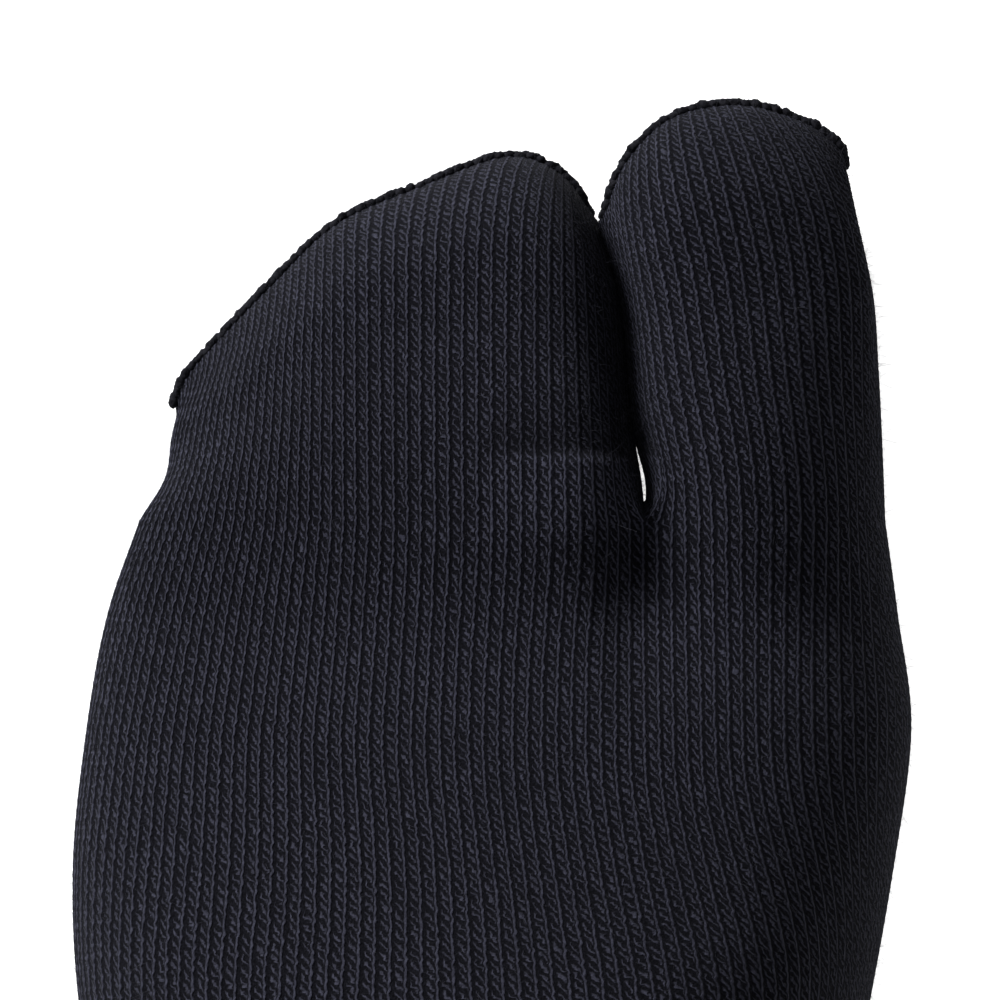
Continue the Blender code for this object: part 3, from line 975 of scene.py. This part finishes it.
# %% Cuff
CUFF = (
    Section(40.4, 176, -43.4, 176, -38.9, 38.9, 0, 0, 0.50, 2.0, 2.0),
    Section(41.0, 191, -44.2, 191, -39.6, 39.6, 0, 0, 0.50, 2.0, 2.0),
    Section(41.4, 206, -44.8, 206, -40.0, 40.0, 0, 0, 0.50, 2.0, 2.0),
)
CUFF_WALL = 2.2
EDGE_ROUND = 1.1  # radius of the top edge
EDGE_LOW = 0.25  # the faces start this far above the lower edge
RIB_DEEP = 0.34  # half the height of a rib
cuff_tube = np.array([ring_of(Section(*row)) for row in smooth_rows(CUFF, 12)])
cuff_tube[:, :, 2] = np.maximum(cuff_tube[:, :, 2], cuff_low.z / MM)
out_of_it = cuff_tube - cuff_tube.mean(axis=1, keepdims=True)
out_of_it[:, :, 2] = 0
out_of_it /= np.linalg.norm(out_of_it, axis=2, keepdims=True)
rib_wave = -np.cos(2 * math.pi * (np.arange(RING) / FINE + 0.5) / 2) * RIB_DEEP
cuff_height = cuff_tube[-1, 0, 2] - cuff_tube[0, 0, 2]
edge_height = cuff_height - EDGE_ROUND


def cuff_ring(height, inwards, ribbed=0.0):
    """A ring of the cuff at this height above its lower edge, this far in from its outer face."""
    place = np.clip(height / cuff_height, 0, 1) * (len(cuff_tube) - 1)
    low = min(int(place), len(cuff_tube) - 2)
    ring = cuff_tube[low] + (cuff_tube[low + 1] - cuff_tube[low]) * (place - low)
    move = -inwards + ribbed * (rib_wave - RIB_DEEP)
    return ring + out_of_it[low] * np.reshape(move, (-1, 1))


def edge_ring(angle, centre, side, ribbed=0.0):
    """A ring of the round top edge."""
    inwards = centre + side * EDGE_ROUND * math.cos(angle)
    return cuff_ring(edge_height + EDGE_ROUND * math.sin(angle), inwards, ribbed)


outside = [cuff_ring(height, 0.0, 1.0) for height in np.linspace(EDGE_LOW, edge_height, 22)]
turn = [
    edge_ring(angle, EDGE_ROUND, -1, math.cos(angle) ** 2) for angle in np.linspace(0.3, math.pi / 2, 5)
]
turn_in = [edge_ring(angle, CUFF_WALL - EDGE_ROUND, 1) for angle in np.linspace(1.2, 0.0, 4)]
inside = [
    cuff_ring(height, CUFF_WALL - 0.5 * (rib_wave - RIB_DEEP) - 0.35)
    for height in np.linspace(cuff_height - 1.8, EDGE_LOW, 20)
]
below = [cuff_ring(0.0, 1.7), cuff_ring(0.0, 0.5, 0.6)]
cuff_rings = np.array(outside + turn + turn_in + inside + below)
cuff_rings = cuff_rings[::-1]  # downwards on the outside, as the leg's rows run
numbers = np.arange(cuff_rings.shape[0] * RING).reshape(cuff_rings.shape[:2])
numbers = np.vstack([numbers, numbers[:1]])
cuff_courses = lengths(np.vstack([cuff_rings, cuff_rings[:1]])[:, 0])[:, None] / LEG_COURSE
made = grid_faces(numbers, np.broadcast_to(cuff_courses, numbers.shape), np.arange(RING + 1) / FINE)
ribbed_cuff = knit_piece("ribbed_cuff", cuff_rings.reshape(-1, 3), *made, navy_rib)

# %% [markdown]
# ## The inside of the sock
# Through the open cuff the back of the knit shows. It is a second face a wall's thickness further in, with
# a quarter of the columns, since nothing finer can be seen there. It closes inside each pouch, a little
# short of the seam.

# %% Inner face
INNER_WALL = 1.5
INNER_END = 0.86  # share of a pouch's rings after which the inside closes
INNER_ROWS = 14
CLOSING_ROWS = 4


def inset_grid(grid, backwards=False):
    """The folded grid, moved inwards by the wall."""
    folded = creased(grid)
    return folded - grid_normals(folded) * (-INNER_WALL if backwards else INNER_WALL)


def line_pouch(rings, columns, backwards):
    """The inside of a pouch, from the crotch's points to where it closes."""
    rows = np.unique(np.linspace(0, int(INNER_END * (len(rings) - 1)), INNER_ROWS).astype(int))
    picked = np.arange(0, len(columns), FINE)
    grid = inset_grid(rings, backwards)[rows][:, picked]
    upper = np.arange(len(picked) // 2 + 1)
    lower = (len(picked) - upper) % len(picked)
    closing = ease((np.arange(len(rows)) - len(rows) + CLOSING_ROWS + 1) / CLOSING_ROWS)[:, None, None]
    middle = (grid[:, upper] + grid[:, lower]) / 2
    grid[:, upper] = grid[:, upper] + (middle - grid[:, upper]) * closing
    grid[:, lower] = grid[:, lower] + (middle - grid[:, lower]) * closing
    courses = (rows[:, None] * 0.5) * np.ones(len(picked))
    counts = np.concatenate([picked, [len(columns)]]) / FINE
    lining.add(grid, courses, columns[picked], counts, backwards)


lining = Joined()
inner_columns = np.arange(0, RING, FINE)
inner_rows = np.unique(np.concatenate([np.arange(0, len(tube) - 1, 4), [len(tube) - 1]]))
inner_courses = -(len(tube) - 1 - inner_rows)[:, None] * 0.9 * np.ones(len(inner_columns))
inner_counts = np.concatenate([inner_columns, [RING]]) / FINE
lining.add(inset_grid(tube)[inner_rows][:, inner_columns], inner_courses, inner_columns, inner_counts)
line_pouch(four_rings, four_columns, False)
line_pouch(big_rings, big_columns, True)
inner_faces, inner_uv = (np.concatenate(part)[:, ::-1] for part in (lining.faces, lining.uvs))
inner_face = knit_piece("inner_face", lining.points, inner_faces, inner_uv, navy_inside)

# %% [markdown]
# ## The linked seams
# The tip of each pouch is shut by linking: a chain of loops runs round the edge, one for each stitch, and
# reads as a row of small beads that stand out from the cloth. One bead is a low sphere pulled long. It is
# made once and copied along the seam's line, in two rows that lie a little apart, above and below.

# %% One bead
bpy.ops.object.select_all(action="DESELECT")
bpy.ops.mesh.primitive_uv_sphere_add(segments=8, ring_count=5, radius=0.5, location=(0, 0, 0))
bead = bpy.context.active_object
bead_points = np.array([vert.co for vert in bead.data.vertices]) * np.array([1.62, 1.22, 1.12])
bead_faces = []
for face in bead.data.polygons:
    around = list(face.vertices)
    first = around.index(min(around))
    bead_faces.append(around[first:] + around[:first])
bead_faces.sort()  # Blender may list them in another order in another run
bpy.data.objects.remove(bead)
print("one bead has", len(bead_faces), "faces")

# %% Chains of beads
BEAD_PITCH = 1.30
BEAD_ROWS = ((0.42, 0.0), (-0.36, 0.5))  # height of each row, and how far its beads are shifted along
BEAD_TILT = (0.42, 0.16)  # each bead is turned outwards by about this angle, more or less
CHAIN_INSET = 0.34  # the chain runs just inside the seam's outermost line
CHAIN_END = 0.97  # and ends a little short of the gap between the toes
random = np.random.default_rng(7)


def chain(name, pouch):
    """A chain of beads along the seam of a pouch."""
    plan = moved_inwards(curve_through(pouch.seam, 200), CHAIN_INSET)
    line = np.column_stack([plan, np.full(len(plan), pouch.seam_z - WALL)])
    far = lengths(line)
    middle = len(line) // 2
    side_x, side_y = line[middle + 1, :2] - line[middle, :2]
    towards_middle = plan.mean(axis=0) - plan[middle]
    outwards = -1.0 if np.dot([-side_y, side_x], towards_middle) > 0 else 1.0
    count = int(CHAIN_END * far[-1] / BEAD_PITCH)
    up = np.array([0.0, 0.0, 1.0])
    points, faces = [], []
    for height, offset in BEAD_ROWS:
        for index in range(count + 1):
            here = CHAIN_END * min((index + offset) / count, 1.0) * far[-1]
            behind, centre, ahead = points_at(line, far, [here - 0.4, here, here + 0.4])
            along = ahead - behind
            along /= np.linalg.norm(along)
            out = np.array([-along[1], along[0], 0.0]) * outwards
            tilt = BEAD_TILT[0] + BEAD_TILT[1] * random.standard_normal()
            long_way = along * math.cos(tilt) + out * math.sin(tilt)
            size = 1.0 + 0.10 * random.standard_normal()
            shift = out * (0.10 * random.standard_normal() - 0.05) + up * height
            axes = np.stack([long_way, np.cross(up, long_way), up])
            first = len(points)
            points.extend((bead_points * size) @ axes + centre + shift)
            faces.extend([[first + corner for corner in face] for face in bead_faces])
    made = new_piece(name, points, faces, navy_seam)
    made.data.shade_smooth()
    print(name, "has", len(BEAD_ROWS) * (count + 1), "beads")
    return made


four_link = chain("four_toe_link", FOUR_TOES)
big_link = chain("big_toe_link", BIG_TOE)

# %% [markdown]
# ## Fuzz
# Worn cotton is covered in fine loose fibres. They blur the stitches and soften the outline against the
# white. Each is a thin three-sided thread with a bend in it, standing on a random place of the front half.

# %% Loose fibres
FIBRE_PLACES = 14000  # some fall on merged points that have no direction, and get no fibre
FIBRE_RADIUS = 0.016
FIBRE_SIDES = 3
FIBRE_FACES = 2 * FIBRE_SIDES + 2
surface = np.concatenate([g.reshape(-1, 3) for g in (tube_grid, four_grid[1:], big_grid[1:])])
directions = np.concatenate(
    [n.reshape(-1, 3) for n in (tube_normals[:-2], four_normals[1:], big_normals[1:])]
)
upper_side = np.flatnonzero(directions[:, 2] > -0.35)
roots = random.choice(upper_side, FIBRE_PLACES, replace=False)


def thread(place, normal):
    """The nine points of one fibre: three rings of three."""
    sideways = random.standard_normal(3)
    sideways -= normal * np.dot(sideways, normal)
    sideways /= np.linalg.norm(sideways)
    length = 0.5 + random.gamma(2.0, 0.42)
    stand = random.uniform(0.15, 0.75)
    lean = normal * stand + sideways * (1 - stand)
    lean /= np.linalg.norm(lean)
    bend = random.standard_normal(3) * 0.22
    base = place - normal * 0.15
    across = np.cross(lean, normal)
    across /= max(np.linalg.norm(across), 1e-6)
    other = np.cross(lean, across)
    for share in (0.0, 0.5, 1.0):
        centre = base + lean * length * share + bend * length * share**2
        thin = FIBRE_RADIUS * (1.0 - 0.55 * share)
        for corner in range(FIBRE_SIDES):
            angle = corner * 2 * math.pi / FIBRE_SIDES
            yield centre + thin * (across * math.cos(angle) + other * math.sin(angle))


points, faces = [], []
for place, normal in zip(surface[roots], directions[roots]):
    if not np.isfinite(normal).all() or np.linalg.norm(normal) < 0.5:
        continue
    first = len(points)
    points.extend(thread(place, normal))
    for low in (first, first + FIBRE_SIDES):
        for corner in range(FIBRE_SIDES):
            here, after = low + corner, low + (corner + 1) % FIBRE_SIDES
            faces.append([here, after, after + FIBRE_SIDES, here + FIBRE_SIDES])
    faces.extend([[first + 2, first + 1, first], [first + 6, first + 7, first + 8]])
fuzz = new_piece("fuzz", points, faces, navy_fibre)
print("fuzz of", len(faces) // FIBRE_FACES, "fibres")

# %% What each piece rides on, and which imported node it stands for
for piece, slot, node in (
    (four_link, "navy_seam", "four_toe_seam"),
    (big_link, "navy_seam", "big_toe_seam"),
    (fuzz, "navy_knit", None),
    (toe_half, "navy_knit", "knit_body"),
    (foot, "navy_knit", "knit_body"),
    (leg, "navy_knit", "knit_body"),
    (inner_face, "navy_knit", "knit_body"),
    (ribbed_cuff, "navy_rib", "cuff"),
):
    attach(piece, "root")
    if node:
        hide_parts(node)
    print(piece.name, "stands for", node)

# %% [markdown]
# ## The cut of the cloth
# A knitted tube has no cut edge, so its flat size is the size it has when it is laid out before it is put
# on: the girth all round, by the mean length of that stretch. A foot stretches it in girth by a third, and
# in length by a twentieth. The rib gets shorter as it is pulled wide.

def declare(piece, girth, length):
    area = sum(face.area for face in piece.data.polygons)
    print(piece.name, "area", round(area, 5), "flat", round(girth * length, 5))


declare(toe_half, 0.190, 0.107)
declare(foot, 0.190, 0.095)
declare(leg, 0.180, 0.122)  # the inner face is the back of the same cloth
declare(ribbed_cuff, 0.170, 0.036)

# %% [markdown]
# ## Camera, light and floor
# The sock stands on a white table and is seen from straight above through a long lens, with the frame on the
# front of the foot. A soft light stands low to the upper left and is by far the strongest, so the right side
# of the sock falls into shade. The table looks white by itself but throws no light on the sock, and a weak
# light from behind shows the heel and the leg.

# %% Floor
bpy.ops.object.select_all(action="DESELECT")
bpy.ops.mesh.primitive_plane_add(size=6.0, location=(0.0, 0.0, body_low.z - 0.0004))
floor = bpy.context.active_object
floor.name = "table_top"
white, white_shader, _ = new_material("white_table")
white_shader.inputs["Base Color"].default_value = (0.9, 0.9, 0.9, 1.0)
white_shader.inputs["Roughness"].default_value = 0.9
white_shader.inputs["Emission Color"].default_value = (1.0, 1.0, 1.0, 1.0)
white_shader.inputs["Emission Strength"].default_value = 1.0
floor.data.materials.append(white)
floor.visible_diffuse = False  # the table does not light the sock from below
print("table top at", round(floor.location.z, 5))

# %% Camera
FRAME_WIDE = 123.7 * MM
LENS, SENSOR = 300, 36
camera_data = bpy.data.cameras.new("camera")
camera_data.lens = LENS
camera_data.sensor_width = SENSOR
camera_data.clip_end = 10
camera = bpy.data.objects.new("camera", camera_data)
bpy.context.scene.collection.objects.link(camera)
camera.location = (0.0019, 0.1543, 0.016 + FRAME_WIDE * LENS / SENSOR)
bpy.context.scene.camera = camera
print("camera", round(camera.location.z, 3), "m above the origin")

# %% Lights
def soft_light(name, place, target, size, power):
    light = bpy.data.lights.new(name, "AREA")
    light.shape = "DISK"
    light.size = size
    light.energy = power
    made = bpy.data.objects.new(name, light)
    bpy.context.scene.collection.objects.link(made)
    made.location = place
    direction = made.location.copy()
    direction.x, direction.y, direction.z = (t - p for t, p in zip(target, place))
    made.rotation_euler = direction.to_track_quat("-Z", "Y").to_euler()
    print("light", name, power, "W")


soft_light("key", (-0.58, 0.66, 0.26), (0.0, 0.12, 0.02), 0.40, 10.2)
soft_light("top", (-0.1, 0.2, 1.3), (0.0, 0.12, 0.0), 0.9, 1.3)
soft_light("right", (0.70, 0.30, 0.20), (0.0, 0.14, 0.02), 0.30, 0.8)
soft_light("behind", (-0.10, -0.90, 0.30), (0.0, 0.0, 0.10), 0.20, 3.5)
world = bpy.data.worlds.new("studio")
world.use_nodes = True
world.node_tree.nodes["Background"].inputs[0].default_value = (1.0, 1.0, 1.0, 1.0)
world.node_tree.nodes["Background"].inputs[1].default_value = 0.10
bpy.context.scene.world = world
bpy.context.scene.view_settings.view_transform = "Standard"
